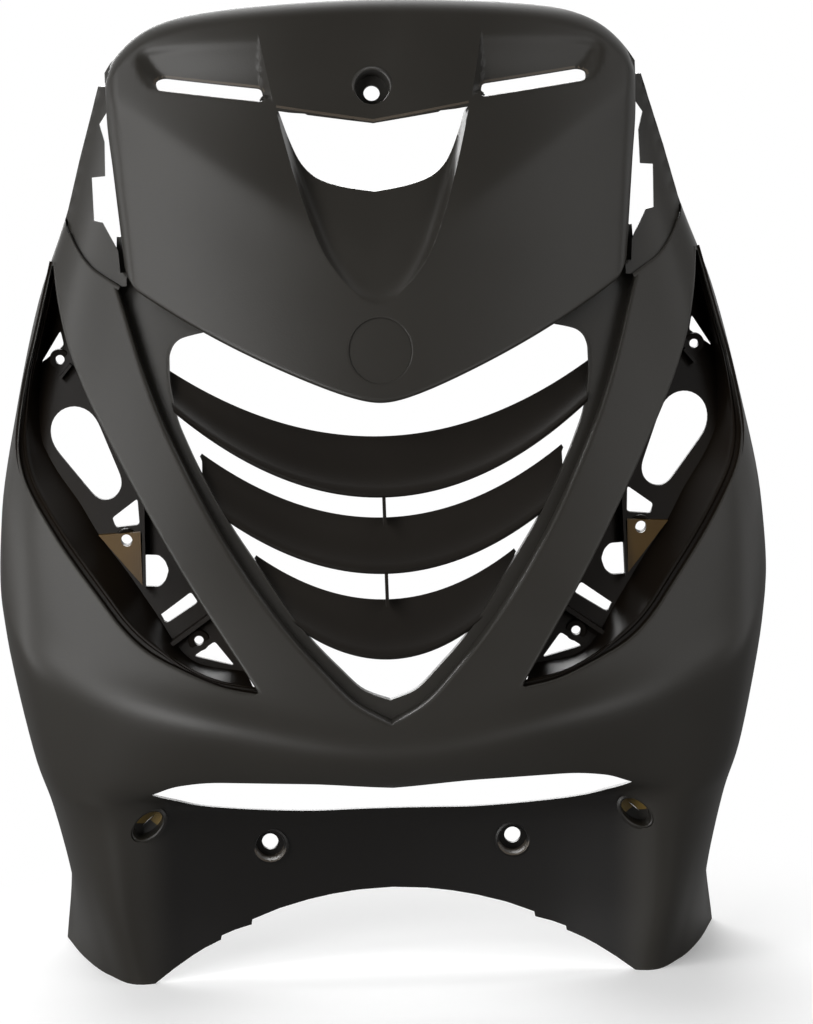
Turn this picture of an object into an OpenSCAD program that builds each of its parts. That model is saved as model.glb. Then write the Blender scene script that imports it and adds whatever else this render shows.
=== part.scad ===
// Scooter front panel: one thin moulding with a hood, two indicator recesses, a louvred grille,
// an open chin and two legs that stand on the floor. Millimetres, +Z up, the front looks along -Y.
// The origin is on the floor, under the middle of the panel's box.

/* [Overall] */
// Width over the two flanks
panel_w = 448; // [380:1:520]
// Height from the feet to the top edge of the hood
panel_h = 555; // [480:1:640]
// Depth from the front of the chin to the rear edge of the flanks
panel_d = 212; // [180:1:250]

/* [Wall] */
// Thickness of the moulded wall
wall = 2.5; // [1.8:0.1:3.5]
// Thickness of the thin grille ribs
rib_t = 1.8; // [1.2:0.1:3]

/* [Indicator recesses] */
// Depth from the band to the floor of the recess
recess_depth = 28; // [15:1:36]
// Diameter of the lamp screw holes at the top and the bottom of the recess
lamp_screw_d = 5.4; // [3:0.1:7]
// Diameter of the lamp screw hole in the middle of the recess
lamp_middle_d = 6.6; // [3:0.1:8]
// Diameter of the flat seat round each lamp screw hole
lamp_seat_d = 13; // [11:0.5:16]
// Diameter of the lamp holder opening
lamp_bulb_d = 30; // [20:1:34]

/* [Grille] */
// Depth from the bands to the ledge that carries the louvres
ledge_depth = 14; // [8:1:20]
// How far the upper edge of a louvre lies behind its lower edge
louvre_lean = 10; // [4:1:16]
// Height of the rolled lower edge of a louvre
louvre_roll = 3; // [2:0.5:5]

/* [Hood] */
// Depth of the hood's returned edge
hood_return = 24; // [14:1:30]
// Depth of the scoop where it meets the central opening
scoop_depth = 13; // [6:1:18]
// Depth of each upper pocket at its slot
pocket_depth = 11; // [5:1:16]
// Depth of the step where the arms pass behind the hood
shoulder_step = 4; // [2:0.5:8]
// Diameter of the shallow round seat on the hood
seat_d = 36; // [20:1:44]
// Depth of the shallow round seat
seat_depth = 1.2; // [0.6:0.1:2]

/* [Fixings] */
// Distance between the two lower fixings
lower_spacing = 141; // [110:1:160]
// Height of the lower fixings above the floor
lower_fixing_z = 75; // [65:1:82]
// Diameter of the three main fixing holes
fixing_hole_d = 9.5; // [6:0.1:11]
// Diameter of the counterbores of the lower fixings
counterbore_d = 16.6; // [13:0.1:20]
// Depth of the counterbores of the lower fixings
counterbore_depth = 10; // [4:0.5:14]
// Height of the top fixing above the floor
top_fixing_z = 506; // [500:1:510]
// Diameter of the recess of the top fixing
top_recess_d = 20; // [15:0.5:24]
// Depth of the recess of the top fixing
top_recess_depth = 14; // [8:0.5:18]
// How far the top fixing looks up from level
top_fixing_tilt = 18; // [0:1:30]

/* [Hidden] */
$fn = 20;

// The styling lines below are drawn for a panel of this size and scaled to the one that is made
drawn = [448, 212, 555];
grow = [panel_w/drawn[0], panel_d/drawn[1], panel_h/drawn[2]];

// Stations of the outer skin, from the feet up. Each holds the rear edge, the flank, the shoulder,
// the nose, the cheek and the centre of its right half, as x, y behind the chin, and height.
STATIONS = [
  [[194, 153, 0], [182, 108, 0], [166, 69, 0], [146, 47, 0], [90, 68, 0], [0, 80, 0]],
  [[190, 152, 45], [187, 110, 45], [176, 69, 45], [154, 43, 45], [95, 66, 45], [0, 77, 45]],
  [[200, 156, 95], [198, 110, 95], [188, 68, 95], [157, 40, 97], [95, 60, 100], [0, 71, 97]],
  [[206, 160, 121], [206, 110, 121], [198, 68, 121], [166, 38, 119], [95, 20, 123], [0, 8, 122]],
  [[215, 165, 195], [221, 114, 195], [208, 68, 181], [168, 36, 167], [95, 10, 155], [0, 0, 141]],
  [[218, 168, 227], [224, 118, 227], [211, 78, 210], [172, 48, 195], [95, 20, 177], [0, 8, 161]],
  [[216, 172, 267], [222, 126, 267], [209, 92, 250], [172, 66, 235], [95, 36, 217], [0, 26, 205]],
  [[209, 182, 325], [212, 146, 325], [200, 118, 313], [165, 96, 301], [92, 68, 285], [0, 58, 275]],
  [[194, 190, 385], [198, 160, 385], [184, 138, 377], [152, 122, 367], [88, 100, 355], [0, 90, 345]],
  [[177, 200, 435], [180, 172, 435], [170, 156, 429], [142, 142, 421], [84, 124, 413], [0, 115, 405]],
  [[162, 212, 493], [164, 188, 493], [155, 176, 489], [130, 164, 483], [80, 148, 475], [0, 140, 470]],
  [[149, 212, 531], [150, 198, 531], [142, 188, 531], [118, 178, 529], [75, 166, 527], [0, 158, 525]],
];
LIP_ROW = 3;
FLANK_COLUMN = 1;
CENTRE_COLUMN = 5;

// Right halves of the outlines seen from the front, as x and height
V_EDGE = [[0, 159], [19, 169], [37, 186], [66, 219], [97, 265], [131, 333], [151, 395]];
V_OPENING = [[0, 169], [14, 174], [29, 187], [50, 209], [72, 240], [91, 268], [112, 308], [121, 335],
             [120, 350], [112, 359]];
RECESS_INNER = [[74, 176], [90, 200], [120, 246], [153, 302], [173, 341], [182, 366], [187, 390], [189, 407]];
RECESS_OUTER = [[201, 370], [210, 335], [214, 302], [212, 292], [190, 259], [165, 227], [150, 209], [137, 198],
                [116, 188], [92, 179], [78, 174.5]];
RECESS_FOOT = [[60, 184], [84, 184], [107, 186], [124, 200], [136, 219], [148, 236], [165, 255], [176, 273],
               [189, 289], [198, 308], [200, 337], [199, 366], [199, 440], [60, 440]];
SHOULDER_EDGE = [[151, 395], [166, 406], [176, 419], [182, 434]];
ARM_INNER = [[150, 414], [159, 430], [164, 431], [165, 455], [157, 456], [157, 475], [160, 485],
             [152, 497], [150, 506]];
LIP_EDGE = [[0, 122], [50, 125], [96, 125], [120, 122.5], [137, 116]];
WALL_TOP = [[0, 95], [37, 95], [81, 98.5], [110, 104], [125, 110.5], [137, 116]];
ARCH = [[0, 46], [49, 40], [82, 31], [82.5, 28], [100, 23], [100.5, 20.5], [117, 13], [142, -2]];
SCOOP_EDGE = [[0, 387], [10, 391], [20, 400], [30, 414], [40, 438], [49, 467], [57, 499]];
TONGUE_TOP = [[0, 447], [18, 450], [33, 455], [42, 463], [49, 477], [56, 494]];
PLATEAU_EDGE = [[0, 486], [56, 495]];
POCKET = [[65, 536], [58, 499], [63, 496], [124, 504], [134, 514], [138, 524], [134, 531], [120, 534], [95, 536]];
SLOT = [[63, 499], [64, 505.5], [121, 512], [126, 510.5], [125, 506]];

// Louvres: centre height of the upper and the lower edge, and how fast each edge rises outwards
LOUVRES = [[309, 0.0025, 280, 0.0033, 124], [265, 0.0033, 239, 0.0036, 104], [221, 0.0045, 193.5, 0.0065, 74]];

// A smooth value between b and c with no overshoot; a and d are their outer neighbours
function gentle(a, b) = a*b <= 0 ? 0 : 2*a*b/(a + b);
function ease(a, b, c, d, t) =
  let (m = gentle(b - a, c - b), n = gentle(c - b, d - c))
  b*(1 + 2*t)*(1 - t)^2 + m*t*(1 - t)^2 + c*t^2*(3 - 2*t) + n*t^2*(t - 1);
// A point on the smooth curve through the points p, at s spans from its start
function along(p, s) =
  let (last = len(p) - 1, i = min(floor(s), last - 1), t = s - i,
       b = p[i], c = p[i + 1],
       a = i > 0 ? p[i - 1] : 2*b - c,
       d = i + 2 <= last ? p[i + 2] : 2*c - b)
  [for (k = [0:len(b) - 1]) ease(a[k], b[k], c[k], d[k], t)];
function curve(p, steps) = [for (k = [0:steps*(len(p) - 1)]) along(p, k/steps)];
function mirrored(p) = [for (k = [len(p) - 1:-1:0]) [-p[k][0], p[k][1]]];
function both_halves(p) = concat(mirrored(p), [for (k = [1:len(p) - 1]) p[k]]);
function backwards(p) = [for (k = [len(p) - 1:-1:0]) p[k]];
function scaled(p) = [for (q = p) [q[0]*grow[0], q[1]*grow[2]]];

// The skin as a grid of points, at the rows r and columns c of the stations
function skin_point(r, c) =
  let (half = [for (k = [0:CENTRE_COLUMN]) along([for (s = STATIONS) s[k]], r)],
       full = concat(half, [for (k = [CENTRE_COLUMN - 1:-1:0]) [-half[k][0], half[k][1], half[k][2]]]),
       q = along(full, c))
  [q[0]*grow[0], q[1]*grow[1], q[2]*grow[2]];
function skin_grid(rows, columns) = [for (r = rows) [for (c = columns) skin_point(r, c)]];
SKIN_ROWS = concat([0, 1, 2], [for (k = [5:13]) k/2], [7, 8, 9, 10, 11]);
SKIN_COLUMNS = concat([0], [for (k = [2:18]) k/2], [10]);
skin = skin_grid(SKIN_ROWS, SKIN_COLUMNS);
// A coarser copy of the front, for the walls and floors let into it
form = skin_grid([LIP_ROW:11], [FLANK_COLUMN:2*CENTRE_COLUMN - FLANK_COLUMN]);

// The hood's face: two gently bowed planes that meet at a soft crease
crease_z = 410;
crease_rise = 0.6;
lower_rake = 0.35;
upper_rake = 0.5;
crease_soft = 12;
hood_bow = 37;
hood_y0 = 97;
function hood_y(x, z) =
  let (a = abs(x), edge = crease_rise*a, d = z - crease_z - edge,
       mean = (lower_rake + upper_rake)/2, half = (upper_rake - lower_rake)/2)
  hood_y0 + lower_rake*edge + hood_bow*(a/150)^2 + mean*d + half*sqrt(d^2 + crease_soft^2);
function hood_half(t) = along([[146], [149], [152], [155], [156]], t*4)[0];
function hood_low(u) = 332 + 52*abs(u) + 13*u^2;
function hood_high(u) = 555 - 14*u^2 - 26*abs(u)^9;
function hood_point(u, t, inset) =
  let (x = u*(hood_half(t) - inset), low = hood_low(u) + inset, high = hood_high(u) - inset,
       z = low + (high - low)*t)
  [x*grow[0], hood_y(x, z)*grow[1], z*grow[2]];
HOOD_U = [1, 0.93, 0.75, 0.5, 0.25, 0, -0.25, -0.5, -0.75, -0.93, -1];
HOOD_U_INNER = [1, 0.7, 0.35, 0, -0.35, -0.7, -1];
HOOD_T = [for (k = [0:7]) k/7];
HOOD_T_INNER = [for (k = [0:4]) k/4];
function hood_grid(us, ts, inset) = [for (t = ts) [for (u = us) hood_point(u, t, inset)]];

// Grids moved back along Y, by a fixed depth or by one worked out from the place, and inwards
function back(grid, depth) = [for (row = grid) [for (p = row) p + [0, depth, 0]]];
function inwards(grid, depth) =
  let (n = len(grid) - 1, m = len(grid[0]) - 1)
  [for (i = [0:n]) [for (j = [0:m])
    let (up = grid[min(i + 1, n)][j] - grid[max(i - 1, 0)][j],
         left = grid[i][min(j + 1, m)] - grid[i][max(j - 1, 0)],
         normal = cross(left, up))
    grid[i][j] + depth*normal/norm(normal)]];

// A closed solid between a front grid and a back grid with as many points
module between(a, b) {
  n = len(a);
  m = len(a[0]);
  off = n*m;
  function at(i, j) = i*m + j;
  function strip(p, q) = [[q, p, p + off], [q, p + off, q + off]];
  // The diagonals of the left half mirror those of the right
  function pair(a, b, c, d, right) = right ? [[a, b, c], [a, c, d]] : [[a, b, d], [b, c, d]];
  quads = [for (i = [0:n - 2]) for (j = [0:m - 2])
    each pair(at(i, j), at(i, j + 1), at(i + 1, j + 1), at(i + 1, j), j < (m - 1)/2)];
  faces = concat(
    quads,
    [for (f = quads) [off + f[0], off + f[2], off + f[1]]],
    [for (j = [0:m - 2]) each strip(at(0, j), at(0, j + 1))],
    [for (j = [0:m - 2]) each strip(at(n - 1, j + 1), at(n - 1, j))],
    [for (i = [0:n - 2]) each strip(at(i, m - 1), at(i + 1, m - 1))],
    [for (i = [0:n - 2]) each strip(at(i + 1, 0), at(i, 0))]);
  polyhedron(points = [for (g = [a, b]) for (row = g) for (p = row) p], faces = faces, convexity = 10);
}

// A front-view outline extruded from y0 back to y1
module through(y0 = -20, y1 = 300) {
  translate([0, y1, 0]) rotate([90, 0, 0]) linear_extrude(height = y1 - y0, convexity = 6) children();
}
module mirror_pair() {
  children();
  mirror([1, 0, 0]) children();
}

// Outlines as they are cut, the symmetric ones closed over both halves
module v_outline() polygon(scaled(concat(both_halves(curve(V_EDGE, 2)), [[151, 420], [-151, 420]])));
module v_opening_outline()
  polygon(scaled(concat(both_halves(curve(V_OPENING, 2)), [[95, 372], [95, 430], [-95, 430], [-95, 372]])));
module above_v_outline()
  polygon(scaled(concat([[-149, 402], [149, 402]], ARM_INNER, [[230, 510], [230, 560]],
                        mirrored(concat(ARM_INNER, [[230, 510], [230, 560]])))));
module recess_outline() polygon(scaled(concat(RECESS_INNER, RECESS_OUTER)));
module shoulder_outline()
  polygon(scaled(concat(SHOULDER_EDGE, [[200, 450], [200, 504], [130, 504], [130, 395]])));
module crescent_outline()
  polygon(scaled(concat(both_halves(curve(LIP_EDGE, 2)), backwards(both_halves(WALL_TOP)))));
module arch_outline() polygon(scaled(concat(both_halves(ARCH), [[142, -20], [-142, -20]])));
module scoop_outline() polygon(scaled(both_halves(SCOOP_EDGE)));
module opening_outline() polygon(scaled(concat(both_halves(TONGUE_TOP), backwards(both_halves(PLATEAU_EDGE)))));
module pocket_outline() polygon(scaled(POCKET));
module slot_outline() polygon(scaled(SLOT));

// The part of a face that an outline takes away
module face_cut(face, depth) {
  intersection() {
    through() children();
    between(back(face, -30), back(face, depth));
  }
}

// Depth along Y of a face at one place, read from its grid
function side(p, a, b) = (b[0] - a[0])*(p[1] - a[2]) - (b[2] - a[2])*(p[0] - a[0]);
function on_triangle(p, a, b, c) =
  let (u = side(p, b, c), v = side(p, c, a), w = side(p, a, b), sum = u + v + w)
  u*v >= 0 && v*w >= 0 && u*w >= 0 && sum != 0 ? [(u*a[1] + v*b[1] + w*c[1])/sum] : [];
function face_y(grid, x, z) =
  [for (i = [0:len(grid) - 2]) for (j = [0:len(grid[0]) - 2])
    let (a = grid[i][j], b = grid[i][j + 1], c = grid[i + 1][j + 1], d = grid[i + 1][j])
    each concat(on_triangle([x, z], a, b, c), on_triangle([x, z], a, c, d))][0];

// A recess let into a face: the block that holds its walls and floor, and the room cut from it
module block(face, floor) {
  intersection() {
    through() offset(delta = wall) children();
    between(back(face, wall/2), back(floor, wall));
  }
}
module room(face, floor) {
  intersection() {
    through() children();
    between(back(face, -30), floor);
  }
}
// A round boss or bore along Y, from the depth y back over a length
module along_y(x, y, z, d, length) {
  translate([x, y + length, z]) rotate([90, 0, 0]) cylinder(d = d, h = length);
}

// Flanks, arms, bands, chin, legs and inner wall, with the set-back flanges behind the hood
module skin_shell() {
  difference() {
    union() {
      between(skin, inwards(skin, wall));
      mirror_pair() block(form, back(form, shoulder_step)) shoulder_outline();
    }
    mirror_pair() room(form, back(form, shoulder_step)) shoulder_outline();
    through() above_v_outline();
    through(-30, 90*grow[1]) crescent_outline();
    through(20, 100) arch_outline();
  }
}

// The front: the shell, the ledge that carries the grille, and the two indicator recesses. Each
// recess has a shallow rim on its outer side, where the lens sits, and a deep pocket.
rim_depth = 4;
module recess_pocket_outline() offset(delta = -0.6) intersection() {
  recess_outline();
  translate([-4, 3]) recess_outline();
}
// The outer side of the pocket slopes in to a foot line on its floor. The slope follows the mean
// rake of the face behind it.
foot_lean = 0.79;
face_rake = 0.705*grow[1]/grow[2];
face_y0 = -107*grow[1];
module sloping(grown) {
  intersection() {
    children();
    multmatrix([[1, -foot_lean, foot_lean*face_rake, foot_lean*(face_y0 + recess_depth)],
                [0, 1, 0, 0], [0, 0, 1, 0]])
      through() offset(delta = grown) polygon(scaled(RECESS_FOOT));
  }
}
module front_walls() {
  difference() {
    union() {
      skin_shell();
      block(form, back(form, ledge_depth)) v_outline();
      mirror_pair() {
        block(form, back(form, rim_depth)) recess_outline();
        sloping(wall) block(form, back(form, recess_depth)) recess_pocket_outline();
      }
    }
    room(form, back(form, ledge_depth)) v_outline();
    through() v_opening_outline();
    mirror_pair() {
      room(form, back(form, rim_depth)) recess_outline();
      sloping(0) room(form, back(form, recess_depth)) recess_pocket_outline();
      intersection() {
        through() recess_holes();
        between(back(form, recess_depth - 6), back(form, recess_depth + 12));
      }
    }
  }
}

// One blade of the grille: a leaning sheet with a rolled lower edge
function grille_y(x, z) = 8 + ledge_depth + 0.447*(z - 161) + 0.00085*x^2;
function blade_point(b, x, t) =
  let (top = b[0] + b[1]*x^2, bottom = b[2] + b[3]*x^2, z = bottom + (top - bottom)*t, y = grille_y(x, bottom))
  [x*grow[0], (y + 0.447*(z - bottom) + louvre_lean*(t - 0.2))*grow[1], z*grow[2]];
function blade_grid(b, steps) =
  concat([[for (k = [0:steps]) blade_point(b, b[4]*(1 - 2*k/steps), 0) + [0, 1, -louvre_roll]]],
         [for (t = [0, 0.5, 1]) [for (k = [0:steps]) blade_point(b, b[4]*(1 - 2*k/steps), t)]]);
module louvre(b) {
  grid = blade_grid(b, 14);
  intersection() {
    between(grid, inwards(grid, wall));
    through() offset(delta = 1) v_outline();
  }
}
// The thin rib on the centre line between two louvres
module grille_rib(lower, upper) {
  z0 = (lower[0] - 2)*grow[2];
  z1 = (upper[2] + 2)*grow[2];
  y0 = grille_y(0, lower[0])*grow[1];
  y1 = grille_y(0, upper[2])*grow[1];
  translate([-rib_t/2, 0, 0]) rotate([90, 0, 90]) linear_extrude(height = rib_t)
    polygon([[y0 + 4, z0], [y0 + 14, z0], [y1 + 12, z1], [y1 + 1, z1]]);
}
module grille() {
  for (b = LOUVRES) louvre(b);
  for (k = [0:1]) grille_rib(LOUVRES[k + 1], LOUVRES[k]);
}

// Openings and lamp screws in the floor of the right recess
LAMP_SCREWS = [[186.5, 350, lamp_screw_d], [148.5, 253, lamp_middle_d], [108, 199.5, lamp_screw_d]];
BULB = [178, 309.5];
BULB_TAIL = [161, 283.5, 20];
FLOOR_HOLES = [
  [[184, 358], [186, 366], [198, 347]],
  [[142, 275], [141, 261], [155, 259], [157, 264]],
  [[131, 212], [112, 225.5], [108, 220], [126, 208.5]],
  [[111, 191], [99, 199], [88, 186]],
];
D_HOLE = [138.5, 236.5, 17, 14];
FLANK_SLOT = [200, 138, 308];
module recess_holes() {
  hull() translate([BULB[0]*grow[0], BULB[1]*grow[2]]) circle(d = lamp_bulb_d);
  hull() {
    translate([BULB[0]*grow[0] - 3, BULB[1]*grow[2] - 3]) circle(d = lamp_bulb_d*0.8);
    translate([BULB_TAIL[0]*grow[0], BULB_TAIL[1]*grow[2]]) circle(d = BULB_TAIL[2]);
  }
  for (h = FLOOR_HOLES) polygon(scaled(h));
  translate([D_HOLE[0]*grow[0], D_HOLE[1]*grow[2]]) intersection() {
    translate([-D_HOLE[3], -D_HOLE[2]/2]) square([D_HOLE[3], D_HOLE[2]]);
    translate([2 - D_HOLE[3]/2, 0]) scale([1.08, 1]) circle(d = D_HOLE[2]);
  }
}
function floor_y(x, z) = face_y(form, x*grow[0], z*grow[2]) + recess_depth;
module lamp_seats() {
  for (s = LAMP_SCREWS) along_y(s[0]*grow[0], floor_y(s[0], s[1]) - 1, s[1]*grow[2], lamp_seat_d, wall + 2);
}
module lamp_seat_faces() {
  for (s = LAMP_SCREWS) along_y(s[0]*grow[0], floor_y(s[0], s[1]) - 12, s[1]*grow[2], lamp_seat_d - 1, 11);
}
// Window for the lens clip, through the side of the recess and the flank
module clip_window() {
  translate([FLANK_SLOT[0]*grow[0], FLANK_SLOT[1]*grow[1], FLANK_SLOT[2]*grow[2]]) cube([30, 26, 7.5]);
}

// Hood: a shallow lid with a scoop, two slotted pockets and a central opening
SEAT_Z = 361;
SCOOP_TIP_Z = 387;
SCOOP_FULL_Z = 450;
POCKET_TOP_Z = 538;
POCKET_FULL_Z = 503;
function scoop_floor(grid) =
  [for (row = grid) [for (p = row)
    p + [0, scoop_depth*max(0, min(1.4, (p[2]/grow[2] - SCOOP_TIP_Z)/(SCOOP_FULL_Z - SCOOP_TIP_Z))), 0]]];
function pocket_floor(grid) =
  [for (row = grid) [for (p = row)
    p + [0, pocket_depth*max(0, min(1, (POCKET_TOP_Z - p[2]/grow[2])/(POCKET_TOP_Z - POCKET_FULL_Z))), 0]]];
module hood() {
  face = hood_grid(HOOD_U, HOOD_T, 0);
  inner = hood_grid(HOOD_U_INNER, HOOD_T_INNER, wall);
  difference() {
    union() {
      difference() {
        between(face, back(face, hood_return));
        between(back(inner, wall), back(inner, hood_return + 10));
      }
      block(face, scoop_floor(face)) scoop_outline();
      mirror_pair() block(face, pocket_floor(face)) pocket_outline();
    }
    room(face, scoop_floor(face)) scoop_outline();
    mirror_pair() room(face, pocket_floor(face)) pocket_outline();
    face_cut(face, hood_return + 20) opening_outline();
    mirror_pair() face_cut(face, hood_return + 20) slot_outline();
    face_cut(face, seat_depth) translate([0, SEAT_Z*grow[2]]) circle(d = seat_d);
  }
}

// Fixings: the bosses behind the skin, and what is bored in them
lower_x = lower_spacing/2;
legs = skin_grid([for (k = [0:0.5:3]) k], [for (k = [2:0.5:8]) k]);
lower_y = face_y(legs, lower_x, lower_fixing_z);
top_y = hood_y(0, top_fixing_z/grow[2])*grow[1];
hood_face = hood_grid(HOOD_U_INNER, HOOD_T_INNER, 0);
boss_wall = 2.4;
boss_floor = 3;
module top_axis() translate([0, top_y, top_fixing_z]) rotate([90 - top_fixing_tilt, 0, 0]) children();
module bosses() {
  for (x = [-lower_x, lower_x])
    along_y(x, lower_y + 0.5, lower_fixing_z, counterbore_d + 2*boss_wall, counterbore_depth + boss_floor - 0.5);
  intersection() {
    top_axis() translate([0, 0, -top_recess_depth - boss_floor])
      cylinder(d = top_recess_d + 2*boss_wall, h = top_recess_depth + boss_floor + 12);
    between(back(hood_face, wall/2), back(hood_face, 40));
  }
}
module fixing_bores() {
  for (x = [-lower_x, lower_x]) {
    along_y(x, lower_y - 30, lower_fixing_z, counterbore_d, 30 + counterbore_depth);
    along_y(x, lower_y - 30, lower_fixing_z, fixing_hole_d, 60);
  }
  top_axis() {
    translate([0, 0, -top_recess_depth]) cylinder(d = top_recess_d, h = top_recess_depth + 30);
    translate([0, 0, -60]) cylinder(d = fixing_hole_d, h = 90);
  }
  for (side = [-1, 1]) for (s = LAMP_SCREWS)
    along_y(side*s[0]*grow[0], floor_y(s[0], s[1]) - 6, s[1]*grow[2], s[2], 14);
}

// Blind oval pockets in the upper corners of the inner wall
OVAL = [140, 95, 17, 13];
module oval_place() translate([OVAL[0]*grow[0], face_y(legs, OVAL[0]*grow[0], OVAL[1]*grow[2]), OVAL[1]*grow[2]])
  rotate([90, 25, 0]) scale([1, 0.8, 1]) children();
module oval_cups() mirror_pair() oval_place() translate([0, 0, -OVAL[3] - wall])
  cylinder(d = OVAL[2] + 2*wall, h = OVAL[3] + wall);
module oval_hollows() mirror_pair() oval_place() translate([0, 0, -OVAL[3]]) cylinder(d = OVAL[2], h = OVAL[3] + 20);

module moulding() {
  difference() {
    union() {
      front_walls();
      mirror_pair() lamp_seats();
      grille();
      hood();
      bosses();
      oval_cups();
    }
    oval_hollows();
    mirror_pair() {
      lamp_seat_faces();
      clip_window();
    }
  }
}

module front_panel() {
  color("#2b2a28") translate([0, -panel_d/2, 0]) difference() {
    resize([0, 0, 0]) moulding();
    fixing_bores();
  }
}

front_panel();
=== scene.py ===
"""Looks of a moulded scooter front panel, painted matt black, on a pale studio floor.

Lengths are in millimetres until a mesh is made: x to the right, y behind the front of the chin, z up
from the feet. The panel is one moulding. Here it is made as a shell, a hood, a grille and two recesses
that run into each other, each with its own rolled edges.
"""
import math

import bmesh
import bpy
from mathutils import Matrix, Vector
from mathutils.bvhtree import BVHTree
from mathutils.geometry import tessellate_polygon


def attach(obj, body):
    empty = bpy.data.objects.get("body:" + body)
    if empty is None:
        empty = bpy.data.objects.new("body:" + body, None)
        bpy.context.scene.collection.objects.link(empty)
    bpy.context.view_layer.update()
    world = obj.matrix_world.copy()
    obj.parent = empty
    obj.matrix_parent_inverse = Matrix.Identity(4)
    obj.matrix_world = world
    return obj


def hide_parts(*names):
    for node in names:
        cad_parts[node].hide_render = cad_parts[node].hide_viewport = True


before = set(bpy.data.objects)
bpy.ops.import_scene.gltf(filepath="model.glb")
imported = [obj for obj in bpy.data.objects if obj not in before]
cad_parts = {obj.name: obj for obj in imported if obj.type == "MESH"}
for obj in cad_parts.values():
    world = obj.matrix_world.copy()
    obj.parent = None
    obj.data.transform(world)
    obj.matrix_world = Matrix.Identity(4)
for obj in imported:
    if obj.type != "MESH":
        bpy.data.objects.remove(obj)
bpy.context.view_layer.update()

WALL = 2.5
# The depth that lies at the middle of the scene
MIDDLE_Y = 106
# Depths clear in front of the panel and clear behind it, for cutters
AHEAD, BEHIND = -60, 330
# How far the ledge round the opening and the floor of a recess lie behind the skin
LEDGE_DEPTH = 14
RECESS_DEPTH = 28
# The lower fixings and the corner pockets of the inner wall: x and height of the right-hand one
LOWER_FIXING = [70.5, 75]
CORNER_POCKET = [140, 95]
POCKET_LEAN = 42

# Stations of the skin from the feet up: rear edge, flank, shoulder, nose, cheek and centre of the right half
STATIONS = [
    [[194, 153, 0], [182, 108, 0], [166, 69, 0], [146, 47, 0], [90, 68, 0], [0, 80, 0]],
    [[190, 152, 45], [187, 110, 45], [176, 69, 45], [154, 43, 45], [95, 66, 45], [0, 77, 45]],
    [[200, 156, 95], [198, 110, 95], [188, 68, 95], [157, 40, 97], [95, 60, 100], [0, 71, 97]],
    [[206, 160, 121], [206, 110, 121], [198, 68, 121], [166, 38, 119], [95, 20, 123], [0, 8, 122]],
    [[215, 165, 195], [221, 114, 195], [208, 68, 181], [168, 36, 167], [95, 10, 155], [0, 0, 141]],
    [[218, 168, 227], [224, 118, 227], [211, 78, 210], [172, 48, 195], [95, 20, 177], [0, 8, 161]],
    [[216, 172, 267], [222, 126, 267], [209, 92, 250], [172, 66, 235], [95, 36, 217], [0, 26, 205]],
    [[209, 182, 325], [212, 146, 325], [200, 118, 313], [165, 96, 301], [92, 68, 285], [0, 58, 275]],
    [[194, 190, 385], [198, 160, 385], [184, 138, 377], [152, 122, 367], [88, 100, 355], [0, 90, 345]],
    [[177, 200, 435], [180, 172, 435], [170, 156, 429], [142, 142, 421], [84, 124, 413], [0, 115, 405]],
    [[162, 212, 493], [164, 188, 493], [155, 176, 489], [130, 164, 483], [80, 148, 475], [0, 140, 470]],
    [[149, 212, 531], [150, 198, 531], [142, 188, 531], [118, 178, 529], [75, 166, 527], [0, 158, 525]],
]

# Right halves of the outlines seen from the front, as x and height
V_EDGE = [[0, 159], [19, 169], [37, 186], [66, 219], [97, 265], [131, 333], [151, 395]]
V_OPENING = [[0, 169], [14, 174], [29, 187], [50, 209], [72, 240], [91, 268], [110, 303], [118, 323],
             [121.5, 345], [121.5, 353], [119.5, 360], [115, 364.5], [107, 367], [100, 368.5]]
RECESS_INNER = [[74, 176], [90, 200], [120, 246], [153, 302], [173, 341], [182, 366], [187, 390], [189, 407]]
RECESS_OUTER = [[198, 370], [207, 335], [211, 305], [208.5, 290], [190, 259], [165, 227], [150, 209],
                [137, 198], [116, 188], [92, 179]]
SHOULDER_EDGE = [[149, 395], [166, 406], [176, 419], [182, 434]]
ARM_INNER = [[150, 414], [159, 430], [164, 431], [165, 455], [157, 456], [157, 475], [160, 485],
             [152, 497], [150, 506]]
LIP_EDGE = [[0, 122], [50, 125], [96, 125], [120, 122.5], [137, 116]]
WALL_TOP = [[0, 95], [37, 95], [81, 98.5], [110, 104], [125, 110.5], [137, 116]]
ARCH = [[0, 46], [20, 45.1], [35, 43.3], [49, 40.8], [66, 36.6], [82, 31], [82.5, 28], [92, 25.7],
        [100, 23], [100.5, 20.5], [110, 16.8], [117, 13.4], [128, 7.2], [142, -2]]
SCOOP_EDGE = [[0, 387], [10, 391], [20, 400], [30, 414], [40, 438], [49, 467], [57, 499]]
TONGUE_TOP = [[0, 447], [18, 450], [33, 455], [42, 463], [49, 477], [55, 494]]
PLATEAU_EDGE = [[0, 486], [56, 495]]
SLOT = [[63, 499], [64, 505.5], [121, 512], [126, 510.5], [125, 506]]
# A louvre: height and bow of its top, height and bow of its foot, and half its width
LOUVRES = [[309, 0.0025, 280, 0.0033, 124], [265, 0.0033, 239, 0.0036, 104], [221, 0.0045, 193.5, 0.0065, 74]]
# The lamp's screw holes: x, height and radius
LAMP_SCREWS = [[186.5, 350, 2.7], [148.5, 253, 3.3], [108, 199.5, 2.7]]


# Curves


def gentle(a, b):
    """The slope at a point between two steps, level where the line turns back."""
    return 0 if a * b <= 0 else 2 * a * b / (a + b)


def ease(a, b, c, d, t):
    """Between b and c without overshoot, a and d being the points before and after them."""
    m = gentle(b - a, c - b)
    n = gentle(c - b, d - c)
    leaving = b * (1 + 2 * t) * (1 - t) ** 2 + m * t * (1 - t) ** 2
    return leaving + c * t * t * (3 - 2 * t) + n * t * t * (t - 1)


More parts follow.
